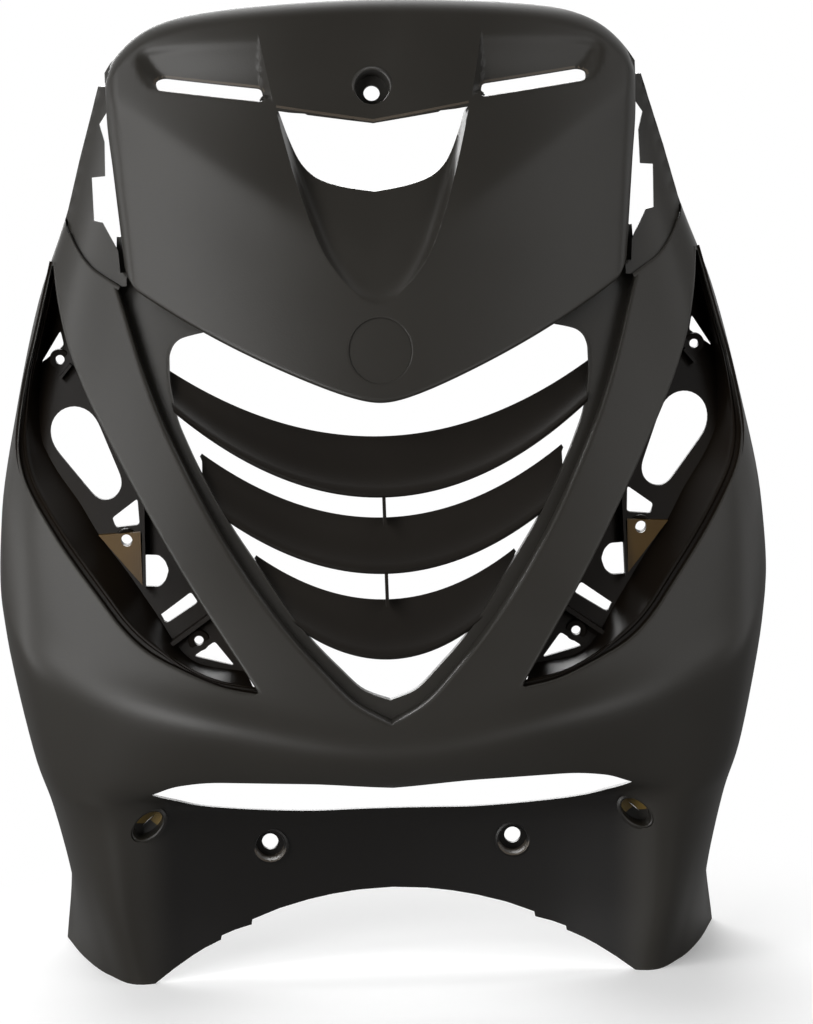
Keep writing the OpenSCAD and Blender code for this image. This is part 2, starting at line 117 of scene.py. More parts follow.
def along(p, s):
    """The place at s steps along a smooth line through points."""
    last = len(p) - 1
    i = min(int(s), last - 1)
    b, c = p[i], p[i + 1]
    a = p[i - 1] if i > 0 else [2 * u - v for u, v in zip(b, c)]
    d = p[i + 2] if i + 2 <= last else [2 * u - v for u, v in zip(c, b)]
    return [ease(a[k], b[k], c[k], d[k], s - i) for k in range(len(b))]


def curve(p, steps):
    return [along(p, k / steps) for k in range(steps * (len(p) - 1) + 1)]


def mirrored(p):
    return [[-q[0], q[1]] for q in reversed(p)]


def both_halves(p):
    return mirrored(p) + p[1:]


def evened(p, gap, closed=True):
    """The same line with points about a gap apart, its corners kept."""
    out = []
    pairs = zip(p, p[1:] + p[:1]) if closed else zip(p, p[1:])
    for a, b in pairs:
        n = max(1, round(math.dist(a, b) / gap))
        out += [[a[0] + (b[0] - a[0]) * k / n, a[1] + (b[1] - a[1]) * k / n] for k in range(n)]
    return out if closed else out + [p[-1]]


def softened(p, times, closed=True):
    """Corners of an evened line eased off."""
    for _ in range(times):
        q = list(p)
        for i in range(len(p)):
            if closed or 0 < i < len(p) - 1:
                a, b, c = p[i - 1], p[i], p[(i + 1) % len(p)]
                q[i] = [(a[0] + 2 * b[0] + c[0]) / 4, (a[1] + 2 * b[1] + c[1]) / 4]
        p = q
    return p


def outward(p, closed=True):
    """Unit normals of a line that point away from the area it encloses."""
    turn = sum(a[0] * b[1] - b[0] * a[1] for a, b in zip(p, p[1:] + p[:1]))
    sign = 1 if turn > 0 else -1
    out = []
    for i in range(len(p)):
        a = p[i - 1] if closed or i > 0 else p[i]
        c = p[(i + 1) % len(p)] if closed or i < len(p) - 1 else p[i]
        dx, dz = c[0] - a[0], c[1] - a[1]
        size = math.hypot(dx, dz) or 1
        out.append([sign * dz / size, -sign * dx / size])
    return out


def grown(p, distance):
    """An outline moved outwards."""
    return [[a[0] + distance * n[0], a[1] + distance * n[1]] for a, n in zip(p, outward(p))]


# Paint


def ramp(nodes, links, fac, low, high):
    tone = nodes.new("ShaderNodeValToRGB")
    for stop, place, colour in zip(tone.color_ramp.elements, (0.35, 0.7), (low, high)):
        stop.position = place
        stop.color = colour
    links.new(fac, tone.inputs["Fac"])
    return tone.outputs["Color"]


def fade(nodes, links, value, start, end, low=0.0):
    """A smooth step from low at start to 1 at end."""
    step = nodes.new("ShaderNodeMapRange")
    step.interpolation_type = "SMOOTHSTEP"
    step.inputs["From Min"].default_value = start
    step.inputs["From Max"].default_value = end
    step.inputs["To Min"].default_value = low
    links.new(value, step.inputs["Value"])
    return step.outputs["Result"]


def span(nodes, links, value, low, high):
    """Spreads a value from 0 to 1 over low to high, each a number or the output of another node."""
    step = nodes.new("ShaderNodeMapRange")
    links.new(value, step.inputs["Value"])
    for name, end in (("To Min", low), ("To Max", high)):
        if isinstance(end, bpy.types.NodeSocket):
            links.new(end, step.inputs[name])
        else:
            step.inputs[name].default_value = end
    return step.outputs["Result"]


def noise(nodes, links, place, scale, detail):
    grain = nodes.new("ShaderNodeTexNoise")
    grain.inputs["Scale"].default_value = scale
    grain.inputs["Detail"].default_value = detail
    links.new(place.outputs["Object"], grain.inputs["Vector"])
    return grain.outputs["Fac"]


def times(nodes, links, a, b):
    product = nodes.new("ShaderNodeMath")
    product.operation = "MULTIPLY"
    links.new(a, product.inputs[0])
    links.new(b, product.inputs[1])
    return product.outputs["Value"]


def paint(name, low, high, sheen, rough_low, rough_high, painted_shade_on_inner_wall=False):
    """Matt paint with a fine texture and a slow change of tone; with painted shade it darkens the set-back
    inner wall under the lip to near black.
    """
    mat = bpy.data.materials.new(name)
    mat.use_nodes = True
    nodes, links = mat.node_tree.nodes, mat.node_tree.links
    shader = nodes["Principled BSDF"]
    shader.inputs["Specular IOR Level"].default_value = sheen
    place = nodes.new("ShaderNodeTexCoord")
    speckle = noise(nodes, links, place, 900, 2)
    cloud = noise(nodes, links, place, 9, 3)
    colour = ramp(nodes, links, cloud, low, high)
    # Painted shade: the inner wall behind and below the chin lip is mixed to a near-black colour.
    if painted_shade_on_inner_wall:
        parts = nodes.new("ShaderNodeSeparateXYZ")
        links.new(place.outputs["Object"], parts.inputs[0])
        across = nodes.new("ShaderNodeMath")
        across.operation = "ABSOLUTE"
        links.new(parts.outputs["X"], across.inputs[0])
        side = fade(nodes, links, across.outputs["Value"], 0.146, 0.124)
        high_up = fade(nodes, links, parts.outputs["Z"], 0.121, 0.114)
        deep = fade(nodes, links, parts.outputs["Y"], -0.075, -0.058)
        mix = nodes.new("ShaderNodeMix")
        mix.data_type = "RGBA"
        mix.inputs["B"].default_value = (0.0032, 0.0024, 0.0018, 1)
        links.new(times(nodes, links, times(nodes, links, side, high_up), deep), mix.inputs["Factor"])
        links.new(colour, mix.inputs["A"])
        colour = mix.outputs["Result"]
    links.new(colour, shader.inputs["Base Color"])
    links.new(span(nodes, links, cloud, rough_low, rough_high), shader.inputs["Roughness"])
    bump = nodes.new("ShaderNodeBump")
    bump.inputs["Strength"].default_value = 0.12
    bump.inputs["Distance"].default_value = 0.0003
    links.new(speckle, bump.inputs["Height"])
    links.new(bump.outputs["Normal"], shader.inputs["Normal"])
    return mat


# The black paint carries painted shade on the inner wall under the lip.
black = paint("matt_black_paint", (0.0180, 0.0162, 0.0134, 1), (0.0222, 0.0202, 0.0170, 1),
              0.32, 0.38, 0.44, painted_shade_on_inner_wall=True)
# A darker copy of the black paint for the louvres and ribs: painted shade of the grille set deep in the V.
grille_painted_shade = paint("grille_painted_shade", (0.0070, 0.0056, 0.0042, 1), (0.0105, 0.0085, 0.0064, 1),
                     0.22, 0.40, 0.50)
# Darker, browner paint for the inside of the indicator recesses: painted shade of the deep recess.
painted_recess_shade = paint("recess_shade_brown_paint", (0.0045, 0.0032, 0.0022, 1), (0.0085, 0.0058, 0.0036, 1),
                   0.10, 0.36, 0.5)
# Golden brown for the small tilted facet in the recess: a painted glint of light on it.
facet_glint = paint("facet_painted_glint", (0.050, 0.026, 0.004, 1), (0.105, 0.058, 0.010, 1), 0.15, 0.35, 0.5)
# Ochre for the floor of the corner pockets: a painted glint deep in each pocket.
ochre = paint("ochre_painted_glint", (0.16, 0.10, 0.018, 1), (0.26, 0.17, 0.030, 1), 0.4, 0.35, 0.5)
# Warm pale tan for some rims: a painted highlight along the plateau lip, over the slots and in the lower
# inside of the counterbores.
painted_rim_highlight = paint("painted_rim_highlight", (0.050, 0.040, 0.030, 1), (0.085, 0.068, 0.050, 1), 0.3, 0.40, 0.5)


# Meshes and the tools that shape them


def metres(p):
    return (p[0] / 1000, (p[1] - MIDDLE_Y) / 1000, p[2] / 1000)


def new_object(name, points, faces):
    mesh = bpy.data.meshes.new(name)
    mesh.from_pydata([metres(p) for p in points], [], faces)
    mesh.materials.append(black)
    obj = bpy.data.objects.new(name, mesh)
    bpy.context.collection.objects.link(obj)
    return obj


def only(obj):
    bpy.ops.object.select_all(action="DESELECT")
    obj.select_set(True)
    bpy.context.view_layer.objects.active = obj


def sheet(name, rows, ring=False):
    """A sheet through rows of points; in a ring each row closes on itself."""
    n, m = len(rows), len(rows[0])
    points = [p for row in rows for p in row]
    faces = []
    for i in range(n - 1):
        for j in range(m if ring else m - 1):
            k = (j + 1) % m
            faces.append((i * m + j, i * m + k, (i + 1) * m + k, (i + 1) * m + j))
    return new_object(name, points, faces)


def finished(obj, mat):
    """Gives a piece another paint than the black it was made with."""
    obj.data.materials[0] = mat
    return obj


def face_front(obj, count=None):
    """Turns a sheet over if its first faces, or all of them, look backwards."""
    faces = obj.data.polygons[:count]
    if sum(f.normal.y * f.area for f in faces) > 0:
        obj.data.flip_normals()
    return obj


def thicken(obj, wall=WALL):
    """Gives a sheet its wall, behind the face it shows."""
    only(obj)
    mod = obj.modifiers.new("wall", "SOLIDIFY")
    mod.thickness = wall / 1000
    mod.offset = -1
    mod.use_even_offset = False
    mod.use_rim = True
    bpy.ops.object.modifier_apply(modifier=mod.name)
    return obj


def prism(name, outline, front, rear):
    """A cutter with a front-view outline; front and rear are depths, or functions of x and z."""
    f = front if callable(front) else lambda x, z: front
    r = rear if callable(rear) else lambda x, z: rear
    n = len(outline)
    points = [[x, f(x, z), z] for x, z in outline] + [[x, r(x, z), z] for x, z in outline]
    caps = tessellate_polygon([[Vector((x, z, 0)) for x, z in outline]])
    faces = [tuple(t) for t in caps] + [tuple(n + k for k in reversed(t)) for t in caps]
    faces += [(k, (k + 1) % n, n + (k + 1) % n, n + k) for k in range(n)]
    obj = new_object(name, points, faces)
    outward_faces(obj)
    return obj


def through(outline):
    """A cutter with a front-view outline that goes right through the panel."""
    return prism("cut", outline, AHEAD, BEHIND)


def grid_lines(outline, margin, gap):
    """Evenly spaced x and z places that cover an outline and a margin round it."""
    lines = []
    for k in (0, 1):
        low, high = min(p[k] for p in outline) - margin, max(p[k] for p in outline) + margin
        n = max(2, int((high - low) / gap))
        lines.append([low + (high - low) * j / n for j in range(n + 1)])
    return lines


def room(outline, surface, depth, gap=5.0):
    """A cutter from in front of the panel back to a depth behind a surface."""
    xs, zs = grid_lines(outline, 4, gap)
    m, nx, nz = len(xs), len(xs) - 1, len(zs) - 1
    rear = [[x, surface(x, z) + depth, z] for z in zs for x in xs]
    front = [[x, AHEAD, z] for z in zs for x in xs]
    corners = [i * m + j for i in range(nz) for j in range(nx)]
    faces = [(k, k + 1, k + m + 1, k + m) for k in corners]
    n = len(rear)
    faces += [tuple(n + k for k in reversed(f)) for f in faces]
    rim = list(range(m)) + [i * m + nx for i in range(1, nz + 1)]
    rim += [nz * m + j for j in range(nx - 1, -1, -1)] + [i * m for i in range(nz - 1, 0, -1)]
    faces += [(a, b, n + b, n + a) for a, b in zip(rim, rim[1:] + rim[:1])]
    block = new_object("room", rear + front, faces)
    outward_faces(block)
    return carve(block, prism("trim", outline, AHEAD - 20, BEHIND + 20), "INTERSECT")


def outward_faces(obj):
    bm = bmesh.new()
    bm.from_mesh(obj.data)
    bmesh.ops.remove_doubles(bm, verts=bm.verts, dist=1e-7)
    bmesh.ops.recalc_face_normals(bm, faces=bm.faces)
    bm.to_mesh(obj.data)
    bm.free()


def carve(obj, cutter, operation="DIFFERENCE"):
    """Cuts a second solid out of a piece, or keeps what the two share; the cutter is used up."""
    only(obj)
    mod = obj.modifiers.new("carve", "BOOLEAN")
    mod.operation = operation
    mod.solver = "MANIFOLD"
    mod.object = cutter
    bpy.ops.object.modifier_apply(modifier=mod.name)
    bpy.data.objects.remove(cutter, do_unlink=True)
    return obj


def joined(name, parts):
    bpy.ops.object.select_all(action="DESELECT")
    for part in parts:
        part.select_set(True)
    bpy.context.view_layer.objects.active = parts[0]
    bpy.ops.object.join()
    obj = bpy.context.view_layer.objects.active
    obj.name = name
    obj.data.name = name
    return obj


def flipped(obj):
    """The mirror image of a right-hand piece, as a piece of its own."""
    twin = obj.copy()
    twin.data = obj.data.copy()
    bpy.context.collection.objects.link(twin)
    for v in twin.data.vertices:
        v.co.x = -v.co.x
    twin.data.flip_normals()
    return twin


def turned(name, profile, axis_point, tilt, steps=40):
    """A closed ring of (radius, depth) points spun about an axis that looks to the front, tilted up."""
    a = math.radians(tilt)
    out = Vector((0, -math.cos(a), math.sin(a)))
    up = Vector((0, math.sin(a), math.cos(a)))
    rows = []
    for r, depth in profile:
        row = []
        for k in range(steps):
            b = 2 * math.pi * k / steps
            p = Vector(axis_point) - out * depth + up * (r * math.sin(b))
            row.append(list(p + Vector((r * math.cos(b), 0, 0))))
        rows.append(row)
    rows.append(rows[0])
    obj = sheet(name, rows, ring=True)
    outward_faces(obj)
    return obj


# The skin and how deep it lies


def skin_rows(row_steps, column_steps):
    """Smooth rows from the right rear edge round the front to the left one, from the feet up."""
    rows = []
    for i in range(11 * row_steps + 1):
        half = [along([s[k] for s in STATIONS], i / row_steps) for k in range(6)]
        full = half + [[-p[0], p[1], p[2]] for p in reversed(half[:-1])]
        rows.append([along(full, j / column_steps) for j in range(10 * column_steps + 1)])
    return rows


def eased(obj, times):
    """Takes small lumps out of a sheet, its border held."""
    only(obj)
    mod = obj.modifiers.new("ease", "SMOOTH")
    mod.factor = 0.5
    mod.iterations = times
    group = obj.vertex_groups.new(name="inside")
    bm = bmesh.new()
    bm.from_mesh(obj.data)
    inside = [v.index for v in bm.verts if not v.is_boundary]
    bm.free()
    group.add(inside, 1.0, "REPLACE")
    mod.vertex_group = group.name
    bpy.ops.object.modifier_apply(modifier=mod.name)
    obj.vertex_groups.clear()
    return obj


skin_side_rows = skin_rows(7, 8)
skin = face_front(sheet("skin", skin_side_rows))
eased(skin, 5)
bm_skin = bmesh.new()
bm_skin.from_mesh(skin.data)
skin_tree = BVHTree.FromBMesh(bm_skin)
bm_skin.free()
# Where the skin is widest, row by row, as x and height
SIDE_LINE = [max(([p[0], p[2]] for p in row[:12]), key=lambda q: q[0]) for row in skin_side_rows]


def side_x(z):
    """Half the skin's width at a height."""
    for a, b in zip(SIDE_LINE, SIDE_LINE[1:]):
        if a[1] <= z <= b[1]:
            return a[0] + (b[0] - a[0]) * (z - a[1]) / (b[1] - a[1])
    return SIDE_LINE[0][0] if z < SIDE_LINE[0][1] else SIDE_LINE[-1][0]


def on_skin(x, z):
    """The place on the front of the skin at x and z, or at its side line for a place past that."""
    limit = side_x(z) - 0.7
    x = max(-limit, min(limit, x))
    hit = skin_tree.ray_cast(Vector((x / 1000, -0.3, z / 1000)), Vector((0, 1, 0)))[0]
    if hit is None:
        hit = skin_tree.find_nearest(Vector(metres([x, 120, z])))[0]
    return [hit.x * 1000, hit.y * 1000 + MIDDLE_Y, hit.z * 1000]


def skin_y(x, z):
    return on_skin(x, z)[1]


def hood_half(t):
    """Half the hood's width at a share t of its height."""
    return along([[146], [149], [152], [155], [156]], t * 4)[0]


def hood_low(u):
    """The height of the hood's lower edge, u going from -1 to 1 across it."""
    corner = 7 * (max(0.0, abs(u) - 0.95) / 0.05) ** 2
    tip = math.sqrt(u * u + 0.0064) - 0.08 * math.exp(-(u / 0.3) ** 2)
    return 332 + 36 * tip + 29 * u * u + corner


def hood_high(u):
    """The height of its upper edge."""
    return 555 - 14 * u * u - 26 * abs(u) ** 9


def hood_y(x, z):
    """Depth of the hood before anything is let into it: two bowed planes that meet at a crease."""
    a = abs(x)
    edge = 0.6 * a
    d = z - 410 - edge
    mean, half = 0.425, 0.075
    y = 97 + 0.35 * edge + 37 * (a / 150) ** 2 + mean * d + half * math.sqrt(d * d + 144)
    crisp = half * (math.sqrt(d * d + 9) - math.sqrt(d * d + 144)) - 0.7 * math.exp(-(d / 20) ** 2)
    return y + crisp * min(1.0, a / 60)


def edge_roll(outline, place, radius, depth, wall=1.6, closed=True, side=1):
    """A rolled edge: from the surface outside an outline round into the wall of what it opens.

    place gives the surface point at x and z; depth is how deep the wall runs. On an open line side says
    whether the surface lies where the line's outward normals point, 1, or on the other side, -1.
    """
    normals = [[side * n[0], side * n[1]] for n in outward(outline, closed)]
    rows = []
    start = [place(x, z) for x, z in outline]
    r = min(radius, depth)
    for d, drop in [(radius + 1.3, 0.7), (radius + 1.2, -0.02), (radius, -0.03)]:
        rows.append([raised(place, x, z, n, d, drop) for (x, z), n in zip(outline, normals)])
    for a in range(15, 91, 15):
        s, c = math.sin(math.radians(a)), math.cos(math.radians(a))
        d, drop = radius * (1 - s), r * (1 - c)
        rows.append([raised(place, x, z, n, d, drop) for (x, z), n in zip(outline, normals)])
    for part in (0.5, 1.0):
        rows.append([[x, p[1] + r + (depth - r) * part, z] for (x, z), p in zip(outline, start)])
    obj = sheet("roll", rows, ring=closed)
    m = len(outline) if closed else len(outline) - 1
    face_front(obj, 3 * m)
    return thicken(obj, wall)


def raised(place, x, z, n, d, drop):
    """The surface at a distance d along a normal from x and z, and a drop further back."""
    p = place(x + n[0] * d, z + n[1] * d)
    return [p[0], p[1] + drop, p[2]]


def plate(name, outline, surface, depth, gap=4.0, holes=()):
    """A floor at a depth behind a surface, trimmed to an outline, with its openings."""
    xs, zs = grid_lines(outline, 6, gap)
    deep = depth if callable(depth) else lambda x, z: depth
    rows = [[[x, surface(x, z) + deep(x, z), z] for x in xs] for z in zs]
    obj = thicken(face_front(sheet(name, rows)))
    carve(obj, through(outline), "INTERSECT")
    for hole in holes:
        carve(obj, through(hole))
    return obj


def circle(x, z, r, steps=32):
    return [[x + r * math.cos(2 * math.pi * k / steps), z + r * math.sin(2 * math.pi * k / steps)]
            for k in range(steps)]


def oval(x, z, long, short, lean, steps=40):
    """An ellipse whose long axis leans by an angle from the level."""
    c, s = math.cos(math.radians(lean)), math.sin(math.radians(lean))
    out = []
    for k in range(steps):
        u, v = long * math.cos(2 * math.pi * k / steps), short * math.sin(2 * math.pi * k / steps)
        out.append([x + u * c - v * s, z + u * s + v * c])
    return out


def hull(points):
    """The outline round a set of points."""
    pts = sorted(map(tuple, points))

    def half(seq):
        out = []
        for p in seq:
            while len(out) > 1 and ((out[-1][0] - out[-2][0]) * (p[1] - out[-2][1])
                                    - (out[-1][1] - out[-2][1]) * (p[0] - out[-2][0])) <= 0:
                out.pop()
            out.append(p)
        return out

    low, high = half(pts), half(reversed(pts))
    return [list(p) for p in low[:-1] + high[:-1]]


# Shell: flanks, arms, bands, chin, legs and inner wall

v_line = both_halves(curve(V_EDGE, 8))
opening_line = both_halves(curve(V_OPENING, 6)) + [[100, 430], [-100, 430]]
v_area = v_line + [[151, 420], [-151, 420]]
recess_line = softened(evened(curve(RECESS_INNER, 4) + curve(RECESS_OUTER, 4), 3.0), 2)
crescent = both_halves(curve(LIP_EDGE, 6)) + list(reversed(both_halves(curve(WALL_TOP, 6))))[1:-1]
arms_area = [[-149, 402], [149, 402]] + ARM_INNER + [[230, 510], [230, 575], [-230, 575], [-230, 510]]
arms_area += mirrored(ARM_INNER)
shoulder_line = curve(SHOULDER_EDGE, 6)
shoulder_top = [[179, 436], [171.5, 465], [163.5, 493], [160, 506], [146, 506], [146, 395]]
shoulder_cut = shoulder_line[:-3] + [[181, 436], [230, 440], [230, 510], [146, 510], [146, 395]]


def make_shell():
    """The skin with its wall, cut open over the arms, in the V, under the lip, between the feet and
    for the recesses and fixings.
    """
    shell = skin
    shell.name = "shell"
    thicken(shell)
    carve(shell, through(arms_area))
    carve(shell, through(grown(v_area, 1.8)))
    carve(shell, prism("cut", evened(crescent, 6), AHEAD, 92))
    carve(shell, prism("cut", both_halves(ARCH) + [[142, -20], [-142, -20]], 15, 110))
    for side in (1, -1):
        area = [[side * x, z] for x, z in grown(recess_line, 1.2)]
        carve(shell, room(area, skin_y, 9))
        area = [[side * x, z] for x, z in shoulder_cut]
        carve(shell, room(grown(evened(area, 5), 1.2), skin_y, 6.5))
        x, z = LOWER_FIXING
        carve(shell, prism("cut", circle(side * x, z, 9.4), AHEAD, 95))
        x, z = CORNER_POCKET
        carve(shell, prism("cut", oval(side * x, z, 11.6, 7.2, -side * POCKET_LEAN), AHEAD, 95))
    return shell


def set_back_flange(side):
    """The flange on an arm that passes behind the hood."""
    line = [[side * x, z] for x, z in shoulder_line if x < side_x(z) - 4.5]
    area = [[side * x, z] for x, z in shoulder_line[:-3] + shoulder_top]
    floor = plate("flange", grown(evened(area, 6), 0.6), skin_y, 4.0, gap=3)
    carve(floor, through(arms_area))
    roll = edge_roll(line, on_skin, 1.2, 4.2, closed=False)
    return [floor, roll]


def on_ledge(x, z):
    p = on_skin(x, z)
    return [p[0], p[1] + LEDGE_DEPTH, p[2]]


shell = make_shell()
ledge_floor = plate("ledge", grown(v_area, 1), skin_y, LEDGE_DEPTH, holes=[opening_line])
v_roll = edge_roll(v_line, on_skin, 1.8, LEDGE_DEPTH + 1, closed=False)
opening_roll = edge_roll(opening_line[:-2], on_ledge, 1.2, 6.0, closed=False, wall=1.4)


# Hood

# Where the side of the scoop, and above it the side of the plateau, runs: height and half width
SCOOP_SIDE = [[330, 9], [391, 10], [400, 20], [414, 30], [438, 40], [467, 49], [499, 57.5], [536, 65],
              [556, 68]]
POCKET_END = [[121, 500], [127, 506], [134, 514], [138, 524], [134, 531], [120, 534.5], [95, 537], [60, 538]]
# The plain round seat on the hood: height of its centre and radius
SEAT = [361, 18]
# How far in from its side, top and foot the hood's face rounds over, and how far its skirt runs back
SIDE_ROUND, TOP_ROUND, FOOT_ROUND = 7, 9, 2.5
SKIRT_DEPTH = 24
# The bolt recess of the top fixing: its height, how far it looks up, and radius and depth along its wall
BOLT_HEIGHT, BOLT_TILT = 506, 18
BOLT_WELL = [(12.6, 0.6), (11.8, -0.6), (11.0, -1.1), (10.3, -0.8), (10, 0.2), (10, 14), (4.75, 14),
             (4.75, 17), (12.4, 17), (12.4, 2)]

scoop_half = curve(SCOOP_EDGE, 6)
opening_area = both_halves(curve(TONGUE_TOP, 5)) + list(reversed(both_halves(PLATEAU_EDGE)))[1:-1]
slot_line = softened(evened(SLOT, 1.5), 2)
pocket_end = curve(POCKET_END, 4)


def scoop_side(z):
    """Half the width of the scoop, or of the plateau above it, at a height."""
    for a, b in zip(SCOOP_SIDE, SCOOP_SIDE[1:]):
        if z <= b[0]:
            t = max(0.0, (z - a[0]) / (b[0] - a[0]))
            return a[1] + (b[1] - a[1]) * t
    return SCOOP_SIDE[-1][1]


def gap_to(line, x, z):
    """How far a place is from an open line."""
    best = 1e9
    for a, b in zip(line, line[1:]):
        dx, dz = b[0] - a[0], b[1] - a[1]
        t = max(0.0, min(1.0, ((x - a[0]) * dx + (z - a[1]) * dz) / (dx * dx + dz * dz)))
        best = min(best, math.hypot(x - a[0] - dx * t, z - a[1] - dz * t))
    return best


def smooth(t):
    t = max(0.0, min(1.0, t))
    return t * t * (3 - 2 * t)


def scoop_in(x, z):
    """The scoop: steep sides by its mouth, softer ones down to its tip."""
    a = abs(x)
    if z < 387 or z > 484 + 0.16 * a:
        return 0.0
    half = 0.0
    for p, q in zip(scoop_half, scoop_half[1:]):
        if p[1] <= z <= q[1]:
            half = p[0] + (q[0] - p[0]) * (z - p[1]) / (q[1] - p[1])
    if a >= half:
        return 0.0
    inside = gap_to(scoop_half, a, z)
    soft = 1.1 + 1.5 * max(0.0, min(1.0, (472 - z) / 72))
    fall = min(1.4, ((z - 386.5) / 58) ** 0.65)
    return 13 * fall * (1 - math.exp(-(inside / soft) ** 1.15))


def slot_middle(a):
    """The height of a slot's middle line, a being how far out it is."""
    return 502.3 + 0.096 * (a - 63)


def pocket_in(x, z, below=True):
    """The wedge pocket over a slot: it deepens down to the slot and fades out at its far end.

    With below it ends at the slot's middle line.
    """
    a = abs(x)
    if z < 496 or z > 538 or a <= scoop_side(z) or a > 139:
        return 0.0
    drop = min(10 * smooth((540 - z) / 40), (a - scoop_side(z)) * 1.7)
    far = 1.0
    if a > 92 or z > 528:
        inside = z > 500 or a < 115
        for p, q in zip(pocket_end, pocket_end[1:]):
            if min(p[1], q[1]) <= z <= max(p[1], q[1]) and p[1] != q[1]:
                cross = p[0] + (q[0] - p[0]) * (z - p[1]) / (q[1] - p[1])
                if q[1] > p[1] and p[0] > 115 and a > cross:
                    inside = False
        far = smooth(gap_to(pocket_end, a, z) / 9.0) if inside else 0.0
    under = max(0.0, min(1.0, (z - slot_middle(a)) / 1.6 + 0.5)) if below and a < 127 else 1.0
    return drop * far * under


def hood_place(x, z):
    return [x, hood_y(x, z), z]


def pocket_place(x, z):
    return [x, hood_y(x, z) + pocket_in(x, z, below=False), z]


def column_x(j, z, half):
    """Columns of the hood's grid follow the side of the scoop and of the plateau."""
    side = scoop_side(z)
    k = abs(j)
    if k <= 14:
        share = [0, 0.2, 0.4, 0.56, 0.68, 0.77, 0.84, 0.89, 0.925, 0.95, 0.967, 0.98, 0.989, 0.995, 1.0][k]
        x = side * share
    elif k <= 22:
        x = side + [0.3, 0.8, 1.6, 2.8, 4.4, 6.0, 6.6, 8.0][k - 15]
    elif k <= 50:
        x = side + 8 + (half - 12 - side - 8) * (k - 22) / 28
    else:
        x = half - [9.0, 7.0, 5.2, 3.8, 2.6, 1.6, 0.9, 0.4, 0][k - 51]
    return x if j > 0 else -x


def make_hood_face():
    """The hood's face on a grid that is closer along its edges, with its rolled border and its skirt."""
    ts = [0, 0.002, 0.005, 0.009, 0.014, 0.021, 0.03] + [0.03 + 0.905 * k / 104 for k in range(1, 105)]
    ts += [0.947, 0.958, 0.968, 0.977, 0.985, 0.991, 0.996, 1.0]
    rows = []
    for t in ts:
        half = hood_half(t)
        row = []
        for j in range(59, -60, -1):
            z = hood_low(0.5) + (hood_high(0.5) - hood_low(0.5)) * t
            for _ in range(4):
                x = column_x(j, z, half)
                low, high = hood_low(x / half), hood_high(x / half)
                z = low + (high - low) * t
            a = max(0.0, 1 - (half - abs(x)) / SIDE_ROUND)
            b = max(0.0, 1 - (high - z) / TOP_ROUND)
            c = max(0.0, 1 - (z - low) / FOOT_ROUND)
            m = min(1.0, math.hypot(a, math.hypot(b, c)))
            r = (SIDE_ROUND * a + TOP_ROUND * b + FOOT_ROUND * c) / ((a + b + c) or 1)
            y = hood_y(x, z) + r * (1 - math.sqrt(1 - m * m)) + scoop_in(x, z) + pocket_in(x, z)
            row.append([x, y, z])
        rows.append(row)
    border = rows[0][:-1] + [row[-1] for row in rows[:-1]] + rows[-1][:0:-1] + [row[0] for row in rows[:0:-1]]
    hood = face_front(sheet("hood", rows))
    back = []
    for depth in (0, 9, 17, SKIRT_DEPTH):
        ring = []
        for p in border:
            inwards = Vector((-p[0], 0, (445 - p[2]) * 0.6)).normalized() * depth * 0.05
            foot = min(p[1] + depth, hood_y(p[0], p[2]) + SKIRT_DEPTH)
            ring.append([p[0] + inwards.x, foot, p[2] + inwards.z])
        back.append(ring)
    skirt = sheet("skirt", back, ring=True)
    first = skirt.data.polygons[0]
    if first.normal.dot(first.center - Vector((0, 0, 0.45))) < 0:
        skirt.data.flip_normals()
    hood = joined("hood", [hood, skirt])
    bm = bmesh.new()
    bm.from_mesh(hood.data)
    bmesh.ops.remove_doubles(bm, verts=bm.verts, dist=2e-5)
    bm.to_mesh(hood.data)
    bm.free()
    return thicken(hood)


def make_hood():
    hood = make_hood_face()
    parts = []
    carve(hood, through(opening_area))
    lip = evened(both_halves(PLATEAU_EDGE), 3, closed=False)
    up = 1 if outward(lip, False)[0][1] >= 0 else -1
    # The roll along the plateau lip carries a painted highlight.
    parts.append(finished(edge_roll(lip, hood_place, 1.1, 3.2, closed=False, side=up), painted_rim_highlight))
    height, radius = SEAT
    carve(hood, prism("cut", circle(0, height, radius + 0.5, 64), AHEAD, 110))
    parts.append(plate("seat", circle(0, height, radius + 0.6, 64), hood_y, 1.2, gap=3))
    parts.append(edge_roll(circle(0, height, radius, 64), hood_place, 0.7, 1.3, wall=1.0))
    for side in (1, -1):
        slot = sorted(([side * x, z] for x, z in slot_line), key=lambda p: p[0])
        carve(hood, through([[side * x, z] for x, z in slot_line]))
        lower = [p for p in slot if p[1] < slot_middle(abs(p[0]))]
        upper = [p for p in slot if p[1] > slot_middle(abs(p[0]))]
        down = 1 if outward(lower, False)[3][1] < 0 else -1
        up = 1 if outward(upper, False)[3][1] > 0 else -1
        parts.append(edge_roll(lower, hood_place, 0.8, 4.0, wall=1.2, closed=False, side=down))
        above = edge_roll(upper, pocket_place, 0.8, 4.0, wall=1.2, closed=False, side=up)
        # The roll over each slot carries a painted highlight.
        parts.append(finished(above, painted_rim_highlight))
    top = [0, hood_y(0, BOLT_HEIGHT), BOLT_HEIGHT]
    carve(hood, turned("cut", [(0.001, -30), (10.4, -30), (10.4, 30), (0.001, 30)], top, BOLT_TILT))
    parts.append(turned("bolt_well", BOLT_WELL, top, BOLT_TILT, 56))
    return joined("hood", [hood] + parts)


# Grille


